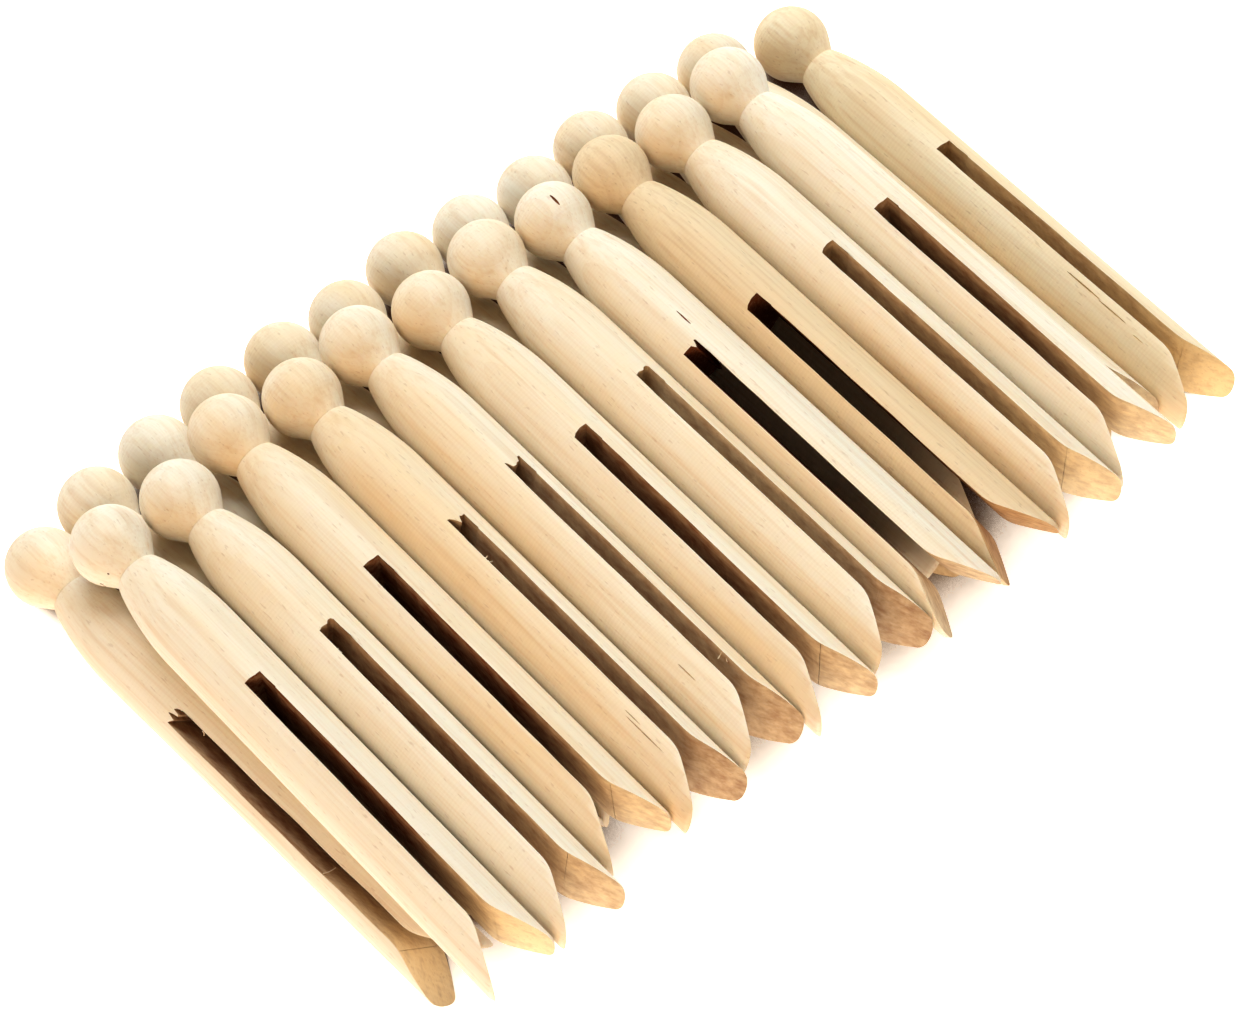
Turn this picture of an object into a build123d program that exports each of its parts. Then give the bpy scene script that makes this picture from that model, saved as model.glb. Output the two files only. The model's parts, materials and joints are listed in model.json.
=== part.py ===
from build123d import *
from math import acos, atan2, cos, degrees, hypot, sin, sqrt
import os

# A set of loose dolly pegs, the one-piece round wooden clips with a ball head and two legs.
# Each peg is turned and sawn from a single piece of wood, so each peg is one solid and one node.
# They lie side by side in two layers: a bottom row on the ground, and a top row in its grooves.
# Millimetres. X runs along the rows, Y along the pegs with the heads at +Y, and Z is up.
# The origin is on the ground, under the middle of the set's box.

# The peg. Places along it are measured from the centre of the head, towards the tips.
peg_length = 112.0
head_radius = 6.85
body_radius = 6.8
shoulder_radius = 4.2
shoulder_length = 16.6  # from the shoulder's edge to where the body has its full radius
groove_depth = 0.6      # how far the neck is cut in below the shoulder's edge
groove_width = 0.25     # from the bottom of the neck to the shoulder's edge
neck_reach = 0.3        # how far the bottom of the neck lies past the ball of the head

# The saw cut between the legs, and the flared mouth that it ends in.
slot_width = 3.2
slot_depth = 66.5
mouth_length = 10.0     # from where the flare's faces would meet the saw cut's walls
mouth_blend = 9.0       # radius of the bend from the walls into the flare
tip_thickness = 0.6
cut_overrun = 2.0       # how far a cut runs past the wood

# The stack. Neighbours in a row and pegs in the two layers never quite touch.
row_gap = 0.3
layer_gap = 0.35
tip_gap = 0.3           # between the layers at the tips

# How each peg lies, in row order from -X: how far it is pushed towards +Y,
# how far it strays along the row, and how far its slot is rolled about its own axis, in degrees.
# At a roll of 0 the slot stands upright, and a positive roll tips its upper edge towards -X.
# The bottom row is also squeezed together at the tips, each peg's by this much towards +X.
bottom_push = (8.2, 12.0, 13.5, 14.5, 14.5, 14.0, 15.5, 14.0, 13.0, 14.0, 13.0, 12.5, 8.0)
bottom_stray = (-0.1, -0.15, 0.0, 0.1, 0.1, 0.0, 0.1, -0.05, -0.1, -0.1, -0.05, 0.0, 0.5)
bottom_roll = (42, -64, 27, -5, -12, 52, -35, 74, -42, 16, -47, -10, -7)
bottom_squeeze = (3.7, 3.5, 3.2, 2.95, 2.8, 2.75, 2.5, 2.5, 2.4, 2.25, 2.05, 1.85, 1.25)
top_push = (-2.5, -3.0, 2.0, -0.5, 1.5, -1.0, 1.0, -0.5, 0.5, 0.0, 1.5)
top_stray = (0.0, 0.1, 0.2, 0.1, 0.1, -0.05, 0.0, -0.1, -0.05, 0.0, 0.15)
top_roll = (4, -5, 4, -13, -15, 0, -15, 26, 25, -1, 8)

# What follows from the sizes above.
widest_radius = max(head_radius, body_radius)
pitch = 2 * widest_radius + row_gap
layer_rise = sqrt((2 * widest_radius + layer_gap) ** 2 - (pitch / 2) ** 2)
neck_radius = shoulder_radius - groove_depth
neck_place = head_radius + neck_reach
shoulder_place = neck_place + groove_width
body_place = shoulder_place + shoulder_length
tip_place = peg_length - head_radius


def half_profile():
    """Half of the peg's outline, from the crown of the head round to the tips, about the Y axis."""
    # The ball runs into the neck along the line that leaves it without a corner.
    reach = hypot(neck_place, neck_radius)
    leaving = atan2(neck_radius, neck_place) + acos(head_radius / reach)
    crown = (0, head_radius)
    side = (head_radius, 0)
    under = (head_radius * sin(leaving), -head_radius * cos(leaving))
    neck = (neck_radius, -neck_place)
    shoulder = (shoulder_radius, -shoulder_place)
    body = (body_radius, -body_place)
    tip = (body_radius, -tip_place)
    centre_of_tips = (0, -tip_place)
    with BuildSketch() as outline:
        with BuildLine():
            TangentArc(crown, side, tangent=(1, 0))
            TangentArc(side, under, tangent=(0, -1))
            Polyline(under, neck, shoulder)
            TangentArc(body, shoulder, tangent=(0, 1))
            Polyline(body, tip, centre_of_tips, crown)
        make_face()
    return outline.sketch


def slot_and_mouth():
    """The gap between the legs, cut right through the peg: a parallel saw cut that bends into a flare."""
    root = slot_depth - tip_place
    flare = mouth_length - tip_place
    end = -tip_place - cut_overrun
    narrow = slot_width / 2
    wide = body_radius - tip_thickness
    right = [(narrow, root), (narrow, flare), (wide, -tip_place), (wide, end)]
    left = [(-x, y) for x, y in reversed(right)]
    with BuildSketch() as outline:
        with BuildLine():
            Polyline(*right, *left, close=True)
        make_face()
        ends, tips, bends, roots = outline.vertices().group_by(Axis.Y)
        fillet(bends, radius=mouth_blend)
    return extrude(outline.sketch, amount=widest_radius + cut_overrun, both=True)


def make_peg():
    """One peg along Y, with the centre of its head at the origin and its slot upright."""
    return revolve(half_profile(), Axis.Y) - slot_and_mouth()


def tip_lifts():
    """How far each top peg's tips are raised where it rides up the squeezed bottom peg on its left."""
    lifts = []
    for i, (stray, squeeze) in enumerate(zip(top_stray, bottom_squeeze)):
        beside = pitch / 2 + stray - bottom_stray[i] - squeeze
        over = sqrt((2 * body_radius + tip_gap) ** 2 - beside ** 2)
        lifts.append(max(over - layer_rise, 0))
    return lifts


def lay_row(name, peg, first_x, height, pushes, strays, rolls, squeezes, lifts):
    """Copies the peg along a row, and returns each copy under its own name."""
    row = {}
    for i, (push, stray, roll, squeeze, lift) in enumerate(
        zip(pushes, strays, rolls, squeezes, lifts)
    ):
        place = Pos(first_x + i * pitch + stray, push, height)
        lean = Rot(-degrees(atan2(lift, tip_place)), 0, degrees(atan2(squeeze, tip_place)))
        row[f"{name}_{i + 1:02d}"] = place * lean * Rot(0, -roll, 0) * peg
    return row


def make_set():
    """Both rows, moved so that the origin is on the ground under the middle of their box."""
    peg = make_peg()
    on_ground = [0] * len(bottom_push)
    unsqueezed = [0] * len(top_push)
    set_of_pegs = lay_row(
        "bottom_peg", peg, 0, widest_radius,
        bottom_push, bottom_stray, bottom_roll, bottom_squeeze, on_ground,
    )
    set_of_pegs |= lay_row(
        "top_peg", peg, pitch / 2, widest_radius + layer_rise,
        top_push, top_stray, top_roll, unsqueezed, tip_lifts(),
    )
    box = Compound(children=[Compound(p.wrapped) for p in set_of_pegs.values()]).bounding_box()
    to_middle = Pos(-box.center().X, -box.center().Y, -box.min.Z)
    return {name: to_middle * placed for name, placed in set_of_pegs.items()}


os.makedirs("parts", exist_ok=True)
for name, placed in make_set().items():
    export_step(placed, f"parts/{name}.step")
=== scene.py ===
import json
import math
import random

import bpy
from mathutils import Matrix, Vector

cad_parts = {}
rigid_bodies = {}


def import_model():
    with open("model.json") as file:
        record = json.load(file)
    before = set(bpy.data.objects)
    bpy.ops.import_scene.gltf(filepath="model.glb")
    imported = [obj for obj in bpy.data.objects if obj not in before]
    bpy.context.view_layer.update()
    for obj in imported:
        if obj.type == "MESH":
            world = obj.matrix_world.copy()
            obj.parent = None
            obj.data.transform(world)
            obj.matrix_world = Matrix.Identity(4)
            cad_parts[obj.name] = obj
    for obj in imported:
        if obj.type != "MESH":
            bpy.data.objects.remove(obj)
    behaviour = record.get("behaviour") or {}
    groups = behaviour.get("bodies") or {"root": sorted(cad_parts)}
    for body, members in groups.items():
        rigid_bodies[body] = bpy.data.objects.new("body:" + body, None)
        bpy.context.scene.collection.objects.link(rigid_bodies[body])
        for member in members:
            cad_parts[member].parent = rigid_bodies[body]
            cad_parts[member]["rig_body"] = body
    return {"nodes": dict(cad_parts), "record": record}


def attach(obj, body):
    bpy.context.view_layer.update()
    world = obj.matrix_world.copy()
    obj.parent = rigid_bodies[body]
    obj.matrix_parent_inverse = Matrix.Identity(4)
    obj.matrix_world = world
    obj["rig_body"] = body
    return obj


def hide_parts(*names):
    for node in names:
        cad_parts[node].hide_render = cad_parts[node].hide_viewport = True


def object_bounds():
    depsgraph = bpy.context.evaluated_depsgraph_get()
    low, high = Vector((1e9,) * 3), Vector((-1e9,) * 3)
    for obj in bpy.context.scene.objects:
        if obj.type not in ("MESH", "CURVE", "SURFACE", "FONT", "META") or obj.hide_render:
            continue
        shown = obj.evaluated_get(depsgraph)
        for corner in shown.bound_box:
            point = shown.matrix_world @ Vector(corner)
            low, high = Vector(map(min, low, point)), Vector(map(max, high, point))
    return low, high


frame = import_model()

# A heap of loose dolly pegs in two rows, each turned and sawn from one piece of beech.
# Sizes are in millimetres, and mm turns them into the frame's metres.
mm = 0.001
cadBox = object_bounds()
print("frame loaded, its box is", [round(v / mm, 1) for corner in cadBox for v in corner], "mm")


# Small helpers

def noSelection():
    if bpy.context.object and bpy.context.object.mode != "OBJECT":
        bpy.ops.object.mode_set(mode="OBJECT")
    bpy.ops.object.select_all(action="DESELECT")


def pick(piece):
    noSelection()
    piece.select_set(True)
    bpy.context.view_layer.objects.active = piece


def drawOutline(name, points):
    # one vertex, then an edge extruded to each next point
    noSelection()
    bpy.ops.mesh.primitive_plane_add(size=mm, location=(0, 0, 0))
    piece = bpy.context.object
    piece.name = name
    bpy.ops.object.mode_set(mode="EDIT")
    bpy.ops.mesh.select_all(action="SELECT")
    bpy.ops.mesh.merge(type="CENTER")
    bpy.ops.transform.translate(value=(points[0][0] * mm, points[0][1] * mm, 0))
    for here, there in zip(points, points[1:]):
        step = ((there[0] - here[0]) * mm, (there[1] - here[1]) * mm, 0)
        bpy.ops.mesh.extrude_region_move(TRANSFORM_OT_translate={"value": step})
    return piece


def arc(centre, radius, start, end, steps):
    # points on an arc, with angles in degrees from the X axis
    turn = [math.radians(start + (end - start) * i / steps) for i in range(steps + 1)]
    return [(centre[0] + radius * math.cos(a), centre[1] + radius * math.sin(a)) for a in turn]


def copyOf(piece, name):
    pick(piece)
    bpy.ops.object.duplicate()
    twin = bpy.context.object
    twin.name = name
    return twin


def dropTool(tool):
    mesh = tool.data
    bpy.data.objects.remove(tool)
    bpy.data.meshes.remove(mesh)


# The peg: a ball head, a pinched neck, a swelling shoulder and a long straight body

peg = dict(
    headRadius=6.85,
    neckRadius=3.6,
    neckPlace=7.15,        # from the centre of the head
    shoulderRadius=4.2,
    shoulderPlace=7.4,
    shoulderEdge=0.25,     # rounding of the shoulder's edge
    shoulderLength=16.6,
    bodyRadius=6.8,
    tipPlace=105.15,
    tipRounding=1.5,
    ringSpacing=4.0,       # between the rings of the straight body
    turnSteps=72,
)


def pegOutline():
    head = peg["headRadius"]
    reach = math.hypot(peg["neckPlace"], peg["neckRadius"])
    leaving = math.atan2(peg["neckRadius"], peg["neckPlace"]) + math.acos(head / reach)
    points = arc((0, 0), head, 90, math.degrees(leaving) - 90, 22)
    # the underside of the ball runs straight to the neck
    under, neck = points[-1], (peg["neckRadius"], -peg["neckPlace"])
    points += [tuple(Vector(under).lerp(Vector(neck), t)) for t in (0.35, 0.7, 0.93)]
    edge = peg["shoulderEdge"]
    points += [
        (peg["neckRadius"] + 0.02, -peg["neckPlace"] - 0.02),
        (peg["shoulderRadius"] - edge * 0.55, -peg["shoulderPlace"] + 0.03),
        (peg["shoulderRadius"] - edge * 0.12, -peg["shoulderPlace"] - edge * 0.35),
    ]
    # the shoulder swells along an arc that ends along the body
    swell = peg["bodyRadius"] - peg["shoulderRadius"]
    length = peg["shoulderLength"]
    curve = (length ** 2 + swell ** 2) / (2 * swell)
    bodyPlace = peg["shoulderPlace"] + length
    for i in range(1, 13):
        back = length * (1 - i / 12)
        points.append((peg["bodyRadius"] - curve + math.sqrt(curve ** 2 - back ** 2), -bodyPlace + back))
    straight = peg["tipPlace"] - peg["tipRounding"] - bodyPlace
    rings = round(straight / peg["ringSpacing"])
    points += [(peg["bodyRadius"], -bodyPlace - straight * i / rings) for i in range(1, rings)]
    rounding = peg["tipRounding"]
    points += arc((peg["bodyRadius"] - rounding, -peg["tipPlace"] + rounding), rounding, 0, -90, 6)
    return points + [(0, -peg["tipPlace"])]


def turnPeg():
    # the blank that every peg is copied from
    piece = drawOutline("turned_blank", pegOutline())
    bpy.ops.mesh.select_all(action="SELECT")
    bpy.ops.mesh.spin(
        steps=peg["turnSteps"], angle=math.tau, center=(0, 0, 0), axis=(0, 1, 0)
    )
    bpy.ops.mesh.select_all(action="SELECT")
    bpy.ops.mesh.remove_doubles(threshold=0.002 * mm)
    bpy.ops.mesh.normals_make_consistent(inside=False)
    bpy.ops.object.mode_set(mode="OBJECT")
    return piece


# The saw cut between the legs, and the flared mouth that it bends into

cut = dict(
    width=3.2,
    root=38.65,            # from the centre of the head
    mouthLength=10.0,      # from where the flare's faces would meet the walls
    mouthBlend=9.0,        # radius of the bend into the flare
    tipThickness=0.6,
    overrun=2.0,
    softening=0.16,        # sanded edges of the slot
    slotShadeEnd=97.0,         # where the painted shade in the slot ends, from the centre of the head
    slotShadeFade=2.5,         # how soon it is full: 1 is only at the root
    rootUnsanded=2.5,      # beside the root, where the edges stay sharp
    tipUnsanded=0.5,       # and before the rounding of the tips
)
# how each kind of saw cut ends: places across the slot, and how far the cut reaches past its root
cutEnds = dict(
    clean=((-1.6, 0), (-0.5, 0.08), (0.6, -0.05), (1.6, 0.05)),
    slanted=((-1.6, -0.7), (-1.0, -0.25), (0.2, 0.1), (1.6, 0.15)),
    forked=((-1.6, 0.2), (-1.2, 0.1), (-0.7, -0.5), (0.0, -1.7), (0.3, -0.9), (0.6, -0.3), (1.0, -0.5),
            (1.6, -0.3)),
    toothed=((-1.6, 0.5), (-1.3, 0.2), (-0.9, -0.9), (-0.3, -1.0), (0.2, -0.6), (0.7, -0.5), (1.1, 0.4),
             (1.6, 0.5)),
    nicked=((-1.6, -0.2), (-0.9, 0.1), (0.1, 0.0), (0.6, 0.5), (1.2, 0.6), (1.6, 0.2)),
    chipped=((-1.6, 0.1), (0.3, 0.0), (0.8, -0.9), (1.1, -0.2), (1.3, 0.5), (1.6, 0.4)),
    splintered=((-1.6, -0.2), (-1.1, -0.5), (-0.5, -1.0), (-0.1, 0.6), (0.25, -0.2), (0.45, -1.3),
                (0.75, -1.2), (0.95, 0.1), (1.3, -0.2), (1.6, -0.8)),
)


def sawBlade(own, seed, wood):
    # the outline of what the saw takes away, drawn flat and then pulled through the peg
    draw = random.Random(seed)
    half, wide = cut["width"] / 2, peg["bodyRadius"] - cut["tipThickness"]
    flare = math.atan2(wide - half, cut["mouthLength"])
    blend = cut["mouthBlend"]
    bend = peg["tipPlace"] - cut["mouthLength"] - blend * math.tan(flare / 2)
    sides = []
    for side in (-1, 1):
        wall = []
        place = cut["root"] + 4
        while place < bend - 3:
            wall.append((side * (half + draw.uniform(-own["wander"], own["wander"])), -place))
            place += draw.uniform(4, 9)
        sides.append(wall)
    left, right = sides
    root = [(x, reach + own["reach"] - cut["root"]) for x, reach in cutEnds[own["end"]]]
    end = -peg["tipPlace"] - cut["overrun"]
    mouthRight = arc((half + blend, -bend), blend, 180, 180 + math.degrees(flare), 6)
    mouthRight += [(wide, -peg["tipPlace"]), (wide, end)]
    mouthLeft = [(-x, y) for x, y in reversed(mouthRight)]
    blade = drawOutline("saw_blade", root + right + mouthRight + mouthLeft + left[::-1])
    depth = peg["bodyRadius"] + cut["overrun"]
    bpy.ops.mesh.select_all(action="SELECT")
    bpy.ops.mesh.edge_face_add()
    bpy.ops.transform.translate(value=(0, 0, -depth * mm))
    bpy.ops.mesh.extrude_region_move(TRANSFORM_OT_translate={"value": (0, 0, 2 * depth * mm)})
    bpy.ops.mesh.select_all(action="SELECT")
    bpy.ops.mesh.normals_make_consistent(inside=False)
    bpy.ops.object.mode_set(mode="OBJECT")
    blade.data.materials.append(wood)
    return blade


def takeAway(piece, tool):
    # boolean difference, whose new faces take the tool's material
    pick(piece)
    modifier = piece.modifiers.new("cut", "BOOLEAN")
    modifier.operation = "DIFFERENCE"
    modifier.solver = "EXACT"
    modifier.material_mode = "TRANSFER"
    modifier.object = tool
    bpy.ops.object.modifier_apply(modifier=modifier.name)
    dropTool(tool)


def placeOf(vertex):
    return tuple(round(c / mm, 2) for c in vertex.co)


def softenSlot(piece):
    # sands the long edges of the slot and its mouth, and returns the places of the sanded vertices
    mesh = piece.data
    for part in (*mesh.edges, *mesh.vertices, *mesh.polygons):
        part.select = False
    kinds = {}
    for face in mesh.polygons:
        for key in face.edge_keys:
            kinds.setdefault(key, set()).add(face.material_index)
    first = -(cut["root"] + cut["rootUnsanded"]) * mm
    last = -(peg["tipPlace"] - peg["tipRounding"] - cut["tipUnsanded"]) * mm
    for edge in mesh.edges:
        a, b = (mesh.vertices[i].co for i in edge.vertices)
        if kinds[edge.key] == {0, 1} and max(a.y, b.y) < first and min(a.y, b.y) > last:
            edge.select = True
    bpy.ops.object.mode_set(mode="EDIT")
    bpy.context.tool_settings.mesh_select_mode = (False, True, False)
    bpy.ops.mesh.bevel(offset=cut["softening"] * mm, segments=2, clamp_overlap=False)
    bpy.ops.object.mode_set(mode="OBJECT")
    bpy.context.tool_settings.mesh_select_mode = (True, False, False)
    return {placeOf(mesh.vertices[i]) for face in mesh.polygons if face.select for i in face.vertices}


# Small damage: gouges are taken out of a peg, and fibres that the saw tore stand on it

def gouge(along, around, length, width, depth, radius, wood):
    # a lens that is sunk into the surface, with its long way along the peg
    noSelection()
    bpy.ops.mesh.primitive_uv_sphere_add(segments=10, ring_count=8, radius=mm)
    tool = bpy.context.object
    bpy.ops.object.mode_set(mode="EDIT")
    bpy.ops.mesh.select_all(action="SELECT")
    bpy.ops.transform.resize(value=(width / 2, length / 2, depth))
    bpy.ops.transform.translate(value=(0, -along * mm, radius * mm))
    bpy.ops.object.mode_set(mode="OBJECT")
    tool.rotation_euler = (0, math.radians(around), 0)
    bpy.ops.object.transform_apply(location=True, rotation=True, scale=True)
    tool.data.materials.append(wood)
    return tool


def fibre(across, along, height, length, curl, heading, wood):
    # a torn fibre: a small round section spun about a point beside it, and turned to its heading
    noSelection()
    thickness = 0.09
    bpy.ops.mesh.primitive_circle_add(vertices=6, radius=thickness * mm, fill_type="NGON")
    hair = bpy.context.object
    radius = length / math.radians(curl)
    bpy.ops.object.mode_set(mode="EDIT")
    bpy.ops.mesh.select_all(action="SELECT")
    bpy.ops.mesh.spin(steps=8, angle=math.radians(curl), center=(radius * mm, 0, 0), axis=(0, 1, 0))
    bpy.ops.mesh.select_all(action="SELECT")
    bpy.ops.mesh.normals_make_consistent(inside=False)
    bpy.ops.object.mode_set(mode="OBJECT")
    hair.rotation_euler = (0, 0, math.radians(heading))
    hair.location = (across * mm, -along * mm, height * mm)
    bpy.ops.object.transform_apply(location=True, rotation=True, scale=True)
    hair.data.materials.append(wood)
    return hair


# Woods

def srgb(text):
    parts = [int(text[i:i + 2], 16) / 255 for i in (0, 2, 4)]
    linear = [p / 12.92 if p <= 0.04045 else ((p + 0.055) / 1.055) ** 2.4 for p in parts]
    return (*linear, 1)


def addNode(tree, kind, inputs=None, **settings):
    node = tree.nodes.new(kind)
    for name, value in settings.items():
        setattr(node, name, value)
    for name, value in (inputs or {}).items():
        if isinstance(value, bpy.types.NodeSocket):
            tree.links.new(value, node.inputs[name])
        else:
            node.inputs[name].default_value = value
    return node


def perMm(across, along):
    # texture scale for grain this wide across the peg and this long along it, in millimetres
    return (1 / (across * mm), 1 / (along * mm), 1 / (across * mm))


def share(tree, value, low, high, most):
    # turns a stretch of a pattern's values into a share from 0 to most
    return addNode(tree, "ShaderNodeMapRange", {
        "Value": value, "From Min": low, "From Max": high, "To Max": most,
    }).outputs[0]


def tint(tree, amount, under, over):
    return addNode(tree, "ShaderNodeMix", {0: amount, 6: under, 7: over}, data_type="RGBA").outputs[2]


def grain(tree, board, across, along, detail=2.0):
    place = addNode(tree, "ShaderNodeMapping", {"Vector": board, "Scale": perMm(across, along)})
    return addNode(tree, "ShaderNodeTexNoise", {
        "Vector": place.outputs[0], "Scale": 1.0, "Detail": detail,
    }).outputs["Fac"]


woods = dict(
    pale_beech=dict(pale="F3EADA", deep="EDCE9E", line="D0A26A", fleck="A4704A", end="DCB684",
                    sawn="F2DDB8", sawnDeepAndShade="864A24", worn="FAF2E2"),
    tan_beech=dict(pale="E9D4B4", deep="DAB482", line="B8864E", fleck="885A38", end="CFA570",
                   sawn="DDB684", sawnDeepAndShade="7C4420", worn="F0DEC2"),
    warm_beech=dict(pale="F3E5CA", deep="EBC896", line="CA9454", fleck="9C6638", end="DCAE70",
                    sawn="F0D6A8", sawnDeepAndShade="864822", worn="F8EAD2"),
)


def startWood(name):
    material = bpy.data.materials.new(name)
    material.use_nodes = True
    tree = material.node_tree
    tree.nodes.clear()
    board = addNode(tree, "ShaderNodeAttribute", attribute_name="board").outputs["Vector"]
    tone = addNode(tree, "ShaderNodeAttribute", attribute_name="tone").outputs["Vector"]
    tones = addNode(tree, "ShaderNodeSeparateXYZ", {0: tone})
    return material, tree, board, tones


def finishWood(tree, colour, height, depth, roughness, scatter):
    bump = addNode(tree, "ShaderNodeBump", {"Height": height, "Strength": 0.5, "Distance": depth * mm})
    # raw beech is matt, and lets a little light through its skin, which comes back orange
    shader = addNode(tree, "ShaderNodeBsdfPrincipled", {
        "Base Color": colour, "Roughness": roughness, "Normal": bump.outputs[0], "IOR": 1.5,
        "Specular IOR Level": 0.3, "Subsurface Weight": scatter, "Subsurface Radius": (1.0, 0.45, 0.18),
        "Subsurface Scale": 1.2 * mm,
    })
    addNode(tree, "ShaderNodeOutputMaterial", {"Surface": shader.outputs[0]})


def turnedBeech(name, look):
    # beech off the lathe, unsealed: creamy and close, with faint streaks and short ray flecks along the peg
    material, tree, board, tones = startWood(name)
    patch = grain(tree, board, 8, 50, 3.0)
    # the fibres are drawn 0.5 mm wide because real ones are too fine to show
    fibres = grain(tree, board, 0.5, 22, 4.0)
    streaks = grain(tree, board, 1.6, 60, 2.0)
    flecks = grain(tree, board, 0.4, 2.2, 1.0)
    # growth rings 2.4 mm apart: a wave's own period is a 20th of a turn
    ringPlace = addNode(tree, "ShaderNodeMapping", {"Vector": board, "Scale": (1 / mm, 0.05 / mm, 1 / mm)})
    rings = addNode(tree, "ShaderNodeTexWave", {
        "Vector": ringPlace.outputs[0], "Scale": math.tau / 20 / 2.4, "Distortion": 1.6, "Detail": 2.0,
        "Detail Scale": 0.12,
    }, wave_type="RINGS", rings_direction="Y", wave_profile="SAW").outputs["Fac"]
    mellow = addNode(tree, "ShaderNodeMath", {
        0: share(tree, patch, 0.36, 0.72, 0.5), 1: tones.outputs["X"],
    }, operation="ADD", use_clamp=True).outputs[0]
    colour = tint(tree, mellow, srgb(look["pale"]), srgb(look["deep"]))
    colour = tint(tree, share(tree, rings, 0.6, 1.0, 0.10), colour, srgb(look["line"]))
    colour = tint(tree, share(tree, streaks, 0.56, 0.8, 0.30), colour, srgb(look["line"]))
    colour = tint(tree, share(tree, fibres, 0.48, 0.78, 0.22), colour, srgb(look["line"]))
    colour = tint(tree, share(tree, flecks, 0.66, 0.76, 0.22), colour, srgb(look["fleck"]))
    # end grain drinks in more light, where the surface faces along the peg
    facing = addNode(tree, "ShaderNodeTexCoord").outputs["Normal"]
    alongPart = addNode(tree, "ShaderNodeSeparateXYZ", {0: facing}).outputs["Y"]
    endwards = addNode(tree, "ShaderNodeMath", {0: alongPart}, operation="ABSOLUTE").outputs[0]
    colour = tint(tree, share(tree, endwards, 0.55, 1.0, 0.5), colour, srgb(look["end"]))
    # the slot's edges are sanded pale
    colour = tint(tree, tones.outputs["Z"], colour, srgb(look["worn"]))
    # fine turning marks round the peg, 0.7 mm apart
    lathe = addNode(tree, "ShaderNodeMapping", {"Vector": board, "Scale": (0.1 / mm, 1 / mm, 0.1 / mm)})
    marks = addNode(tree, "ShaderNodeTexWave", {
        "Vector": lathe.outputs[0], "Scale": math.tau / 20 / 0.7, "Distortion": 4.0, "Detail": 2.0,
        "Detail Scale": 0.4,
    }, bands_direction="Y").outputs["Fac"]
    height = addNode(tree, "ShaderNodeMath", {
        0: fibres, 1: 1.6, 2: marks,
    }, operation="MULTIPLY_ADD").outputs[0]
    matt = addNode(tree, "ShaderNodeMapRange", {"Value": fibres, "To Min": 0.52, "To Max": 0.74}).outputs[0]
    finishWood(tree, colour, height, 0.03, matt, 0.1)
    return material


def sawnBeech(name, look):
    # the same wood left by the saw: coloured browner, mottled and dull, with fine tooth marks across the
    # cut, and painted darker deep in the slot as painted shade
    material, tree, board, tones = startWood(name)
    mottle = grain(tree, board, 1.3, 3.0, 4.0)
    specks = grain(tree, board, 0.35, 0.6, 2.0)
    fibres = grain(tree, board, 0.4, 9, 3.0)
    # the real mottling, plus the painted shade deep in the slot that the tone attribute's second part
    # carries
    brown = addNode(tree, "ShaderNodeMath", {
        0: share(tree, mottle, 0.35, 0.7, 0.35), 1: tones.outputs["Y"],
    }, operation="ADD", use_clamp=True).outputs[0]
    colour = tint(tree, brown, srgb(look["sawn"]), srgb(look["sawnDeepAndShade"]))
    colour = tint(tree, share(tree, specks, 0.58, 0.75, 0.25), colour, srgb(look["fleck"]))
    colour = tint(tree, share(tree, fibres, 0.5, 0.8, 0.20), colour, srgb(look["pale"]))
    # the saw's teeth left marks 1.1 mm apart, leaning across the cut
    tooth = addNode(tree, "ShaderNodeMapping", {
        "Vector": board, "Rotation": (math.radians(24), 0, 0), "Scale": (1 / mm, 1 / mm, 1 / mm),
    })
    marks = addNode(tree, "ShaderNodeTexWave", {
        "Vector": tooth.outputs[0], "Scale": math.tau / 20 / 1.1, "Distortion": 3.5, "Detail": 3.0,
        "Detail Scale": 0.6,
    }, bands_direction="Y").outputs["Fac"]
    height = addNode(tree, "ShaderNodeMath", {
        0: specks, 1: 2.0, 2: marks,
    }, operation="MULTIPLY_ADD").outputs[0]
    matt = addNode(tree, "ShaderNodeMapRange", {"Value": specks, "To Min": 0.74, "To Max": 0.92}).outputs[0]
    finishWood(tree, colour, height, 0.06, matt, 0.0)
    return material


turnedWood = {slot: turnedBeech("turned_" + slot, look) for slot, look in woods.items()}
sawnWood = {slot: sawnBeech("sawn_" + slot, look) for slot, look in woods.items()}
print("woods mixed:", len(turnedWood) + len(sawnWood))


# The pegs as they lie: what is particular to each, by its name in the frame
# A gouge is (along, around, length, width, depth, radius of the surface).
# Its place around the peg is in degrees from the slot's top.
# A fibre is (across, along, height, length, curl, heading), with its last two in degrees.

# each peg's values include how much painted shade darkens the walls deep in its slot
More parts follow.
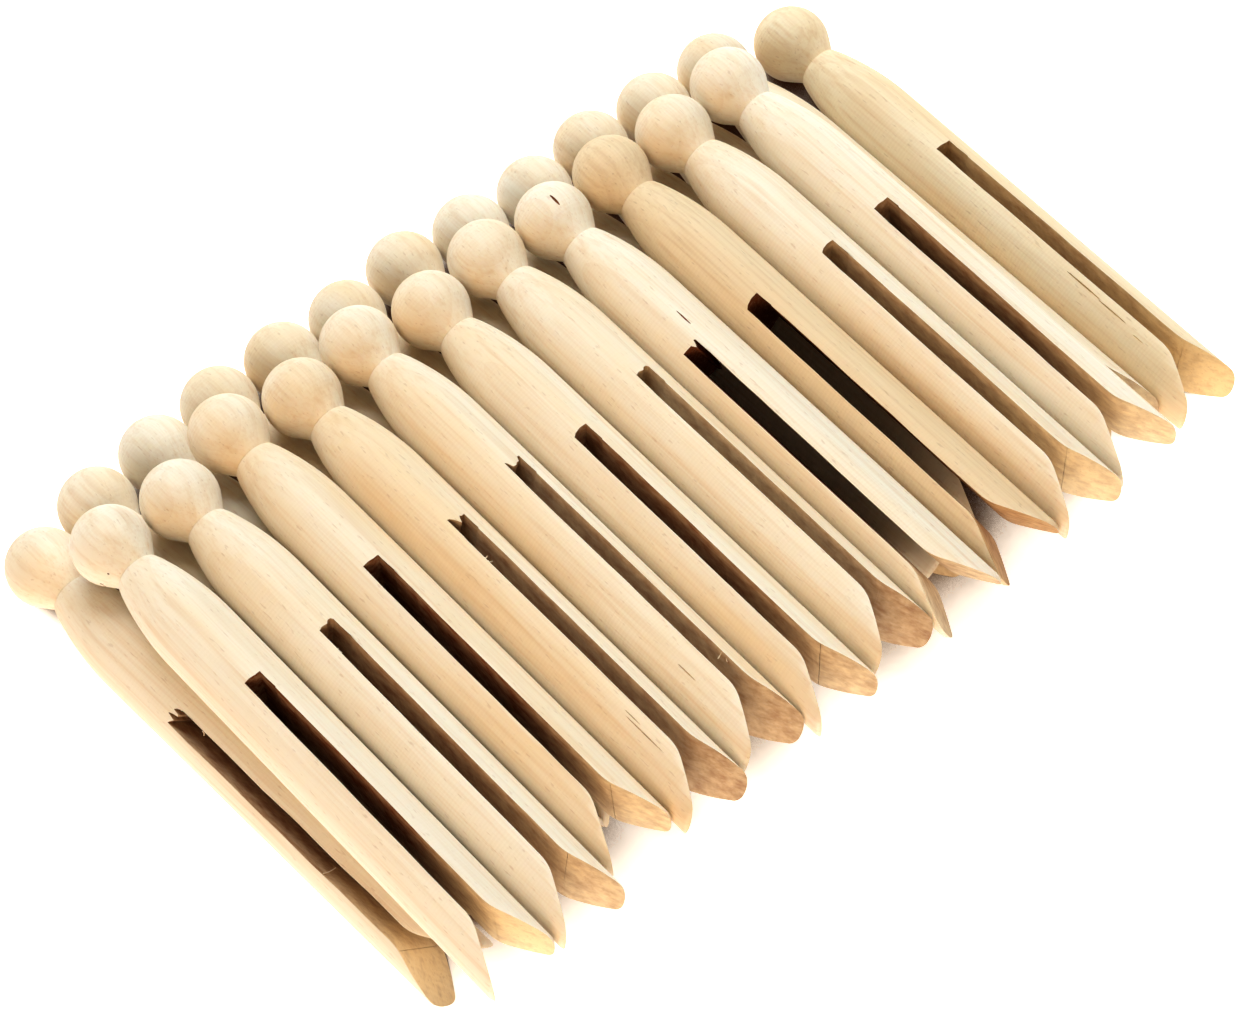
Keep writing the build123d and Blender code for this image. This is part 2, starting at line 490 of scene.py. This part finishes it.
plainPeg = dict(wood="pale_beech", end="clean", reach=0.0, wander=0.05, tone=0.0, bevel=0.1, paintedSlotShade=0.4,
                gouges=(), fibres=())
ownPegs = dict(
    top_peg_01=dict(bevel=-0.15, paintedSlotShade=0.85, tone=-0.1, gouges=(
        (5.1, -61, 0.7, 0.5, 0.3, 4.6), (4.2, -112, 0.6, 0.6, 0.3, 5.4), (4.1, -101, 0.8, 0.4, 0.3, 5.45))),
    top_peg_02=dict(end="nicked", reach=0.3, bevel=0.15, paintedSlotShade=0.3, fibres=(
        (-1.5, 41.2, 6.3, 1.8, 60, 250), (-1.4, 43.0, 6.4, 1.2, 80, 300))),
    top_peg_03=dict(bevel=0.05, paintedSlotShade=0.65),
    top_peg_04=dict(end="forked", bevel=0.35, paintedSlotShade=0.05, tone=0.05, fibres=(
        (-1.5, 48.0, 6.4, 1.3, 130, 20), (-1.5, 48.8, 6.4, 1.0, 150, -30),
        (-1.4, 42.5, 6.3, 0.9, 70, 300)), gouges=(
        (90.0, -34, 9.5, 0.22, 0.12, 6.8), (86.5, -29, 4.0, 0.18, 0.10, 6.8))),
    top_peg_05=dict(end="toothed", bevel=0.3, paintedSlotShade=0.05, tone=0.1, fibres=(
        (-1.5, 69.4, 6.4, 3.1, 40, 8), (1.6, 88.4, 6.2, 1.4, 110, 200),
        (1.7, 89.6, 6.1, 1.0, 140, 240)), gouges=(
        (87.6, -47, 4.5, 0.25, 0.12, 6.8),)),
    top_peg_06=dict(end="slanted", bevel=0.15, paintedSlotShade=0.4, tone=-0.05),
    top_peg_07=dict(end="nicked", bevel=0.35, paintedSlotShade=-0.15, tone=-0.1),
    top_peg_08=dict(end="chipped", bevel=0.15, paintedSlotShade=0.85, tone=-0.1, gouges=(
        (0.9, 25, 3.4, 0.5, 0.35, 6.85), (17.7, 25, 2.0, 0.3, 0.15, 6.65), (33.7, 26, 3.8, 0.3, 0.14, 6.8))),
    top_peg_09=dict(wood="tan_beech", reach=-0.5, end="slanted", bevel=0.2, paintedSlotShade=0.85),
    top_peg_10=dict(reach=-0.3, end="slanted", bevel=-0.05, paintedSlotShade=0.3),
    top_peg_11=dict(reach=-1.3, bevel=0.0),
    bottom_peg_01=dict(end="splintered", wander=0.14, bevel=-0.15, paintedSlotShade=0.6, tone=-0.05, fibres=(
        (-1.5, 77.1, 6.3, 3.2, 30, 14), (1.5, 45.0, 6.4, 1.2, 90, 200))),
    bottom_peg_13=dict(wood="warm_beech", reach=0.7, bevel=-0.1, paintedSlotShade=0.3, gouges=(
        (76.0, -26, 8.5, 0.35, 0.3, 6.8), (83.0, -28, 7.0, 0.3, 0.25, 6.8),
        (90.0, -34, 2.6, 0.25, 0.15, 6.8))),
)
blank = turnPeg()
slotMounts = {mount["name"]: mount for mount in frame["record"]["mounts"]}


def pegPlace(node):
    # the peg's own frame: its tips and its length from its mount, its turn from the CAD peg's widest face
    mount = slotMounts[node + "_slot"]
    tips, back = Vector(mount["pos_m"]), -Vector(mount["axis"]).normalized()
    wall = max(frame["nodes"][node].data.polygons, key=lambda face: face.area).normal
    across = (wall - back * wall.dot(back)).normalized()
    if across.x < 0:
        across.negate()
    place = Matrix((across, back, across.cross(back))).transposed().to_4x4()
    place.translation = tips + back * peg["tipPlace"] * mm
    return place


def layPeg(node, number):
    own = {**plainPeg, **ownPegs.get(node, {})}
    draw = random.Random(100 + number)
    turned, sawn = turnedWood[own["wood"]], sawnWood[own["wood"]]
    piece = copyOf(blank, "beech_" + node)
    piece.data.materials.append(turned)
    takeAway(piece, sawBlade(own, number, sawn))
    worn = softenSlot(piece)
    for mark in own["gouges"]:
        takeAway(piece, gouge(*mark, sawn))
    hairs = [fibre(*hair, turned) for hair in own["fibres"]]
    pick(piece)
    for hair in hairs:
        hair.select_set(True)
    if hairs:
        bpy.ops.object.join()
    tones = piece.data.attributes.new("tone", "FLOAT_VECTOR", "POINT")
    tone = own["tone"] + draw.uniform(-0.12, 0.18)
    # the walls of the cut are painted darker and browner near the root as painted shade in the slot, which
    # fades towards the mouth
    for v, value in zip(piece.data.vertices, tones.data):
        depth = (cut["slotShadeEnd"] + v.co.y / mm) / (cut["slotShadeEnd"] - cut["root"])
        sawnToneAndShade = own["bevel"] + own["paintedSlotShade"] * min(max(cut["slotShadeFade"] * depth, 0), 1)
        value.vector = (tone, sawnToneAndShade, 0.5 * (placeOf(v) in worn))
    bpy.ops.object.shade_smooth_by_angle(angle=math.radians(35))
    # where in the board this peg was cut, which sets its grain
    pith = Matrix.Rotation(draw.uniform(0, math.tau), 3, "Y") @ Vector((draw.uniform(35, 110), 0, 0))
    pith.y = draw.uniform(-400, 400)
    grains = piece.data.attributes.new("board", "FLOAT_VECTOR", "POINT")
    grains.data.foreach_set("vector", [c for v in piece.data.vertices for c in v.co + pith * mm])
    piece.matrix_world = pegPlace(node)
    bpy.ops.object.transform_apply(location=True, rotation=True, scale=True)
    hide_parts(node)
    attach(piece, frame["nodes"][node]["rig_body"])
    return piece


nodes = sorted(frame["nodes"])
pegs = [layPeg(node, number) for number, node in enumerate(nodes)]
dropTool(blank)
print("pegs laid:", len(pegs), "with", sum(len(p.data.polygons) for p in pegs), "faces")


# Floor, lights and camera

stage = dict(
    floorSize=4.0,         # metres
    floorColour="F6F5F3",
    floorShade="5A3216",
    floorGlow=0.95,
    shadeReach=0.04,       # metres over which the heap shades the floor's glow
    colourOpens=(0.12, 0.34),   # how open the floor is where its painted shade ends and its white is full
    glowOpens=(0.2, 0.4),
    sky=0.15,
    skyColour="FFE9C8",
    contrast=0.87,         # display gamma: below 1 deepens the shadows, in the picture only
    lights=dict(           # place in metres, width and height in metres, watts, colour
        soft_key=((0.45, 0.55, 1.05), 1.4, 0.8, 21.5, "F1F8F8"),
        warm_fill=((-0.75, -0.60, 0.45), 0.6, 0.5, 6.0, "FFDEB6"),
    ),
)
camera = dict(
    turn=40.974,           # degrees from +Y towards +X
    drop=57.449,           # degrees below the horizon
    roll=-0.262,
    distance=760.25,
    aim=(-6.57, -6.93, -1.44),   # from the middle of the heap's box
    lens=130.68,
)


def makeStage():
    noSelection()
    bpy.ops.mesh.primitive_plane_add(size=stage["floorSize"], location=(0, 0, cadBox[0].z))
    floor = bpy.context.object
    floor.name = "floor"
    paper = bpy.data.materials.new("white_paper")
    paper.use_nodes = True
    tree = paper.node_tree
    tree.nodes.clear()
    # open paper glows to a clear white, and the paper shut in under the heap is painted dark brown as
    # painted shade, where its glow also fades out
    openness = addNode(tree, "ShaderNodeAmbientOcclusion", {
        "Distance": stage["shadeReach"],
    }, samples=16).outputs["AO"]
    opened = share(tree, openness, *stage["colourOpens"], 1.0)
    colour = tint(tree, opened, srgb(stage["floorShade"]), srgb(stage["floorColour"]))
    shader = addNode(tree, "ShaderNodeBsdfPrincipled", {
        "Base Color": colour, "Roughness": 0.9, "Emission Color": colour,
        "Emission Strength": share(tree, openness, *stage["glowOpens"], stage["floorGlow"]),
    })
    addNode(tree, "ShaderNodeOutputMaterial", {"Surface": shader.outputs[0]})
    floor.data.materials.append(paper)
    world = bpy.data.worlds.new("studio")
    world.use_nodes = True
    world.node_tree.nodes["Background"].inputs["Color"].default_value = srgb(stage["skyColour"])
    world.node_tree.nodes["Background"].inputs["Strength"].default_value = stage["sky"]
    bpy.context.scene.world = world
    for name, (place, width, height, watts, colour) in stage["lights"].items():
        bpy.ops.object.light_add(type="AREA", location=place)
        light = bpy.context.object
        light.name = name
        light.data.shape = "RECTANGLE"
        light.data.size = width
        light.data.size_y = height
        light.data.energy = watts
        light.data.color = srgb(colour)[:3]
        light.rotation_euler = (-Vector(place)).to_track_quat("-Z", "Y").to_euler()


def makeCamera():
    turn, drop = math.radians(camera["turn"]), math.radians(camera["drop"])
    view = Vector((math.sin(turn) * math.cos(drop), math.cos(turn) * math.cos(drop), -math.sin(drop)))
    middle = (cadBox[0] + cadBox[1]) / 2
    aim = middle + Vector(camera["aim"]) * mm
    bpy.ops.object.camera_add(location=aim - view * camera["distance"] * mm)
    eye = bpy.context.object
    eye.name = "camera"
    eye.data.lens = camera["lens"]
    eye.data.sensor_width = 36
    eye.data.clip_end = 20
    level = view.to_track_quat("-Z", "Y").to_matrix()
    eye.rotation_euler = (level @ Matrix.Rotation(math.radians(camera["roll"]), 3, "Z")).to_euler()
    bpy.context.scene.camera = eye


makeStage()
makeCamera()
bpy.context.scene.view_settings.view_transform = "Standard"
bpy.context.scene.view_settings.gamma = stage["contrast"]
print("floor, lights and camera set")
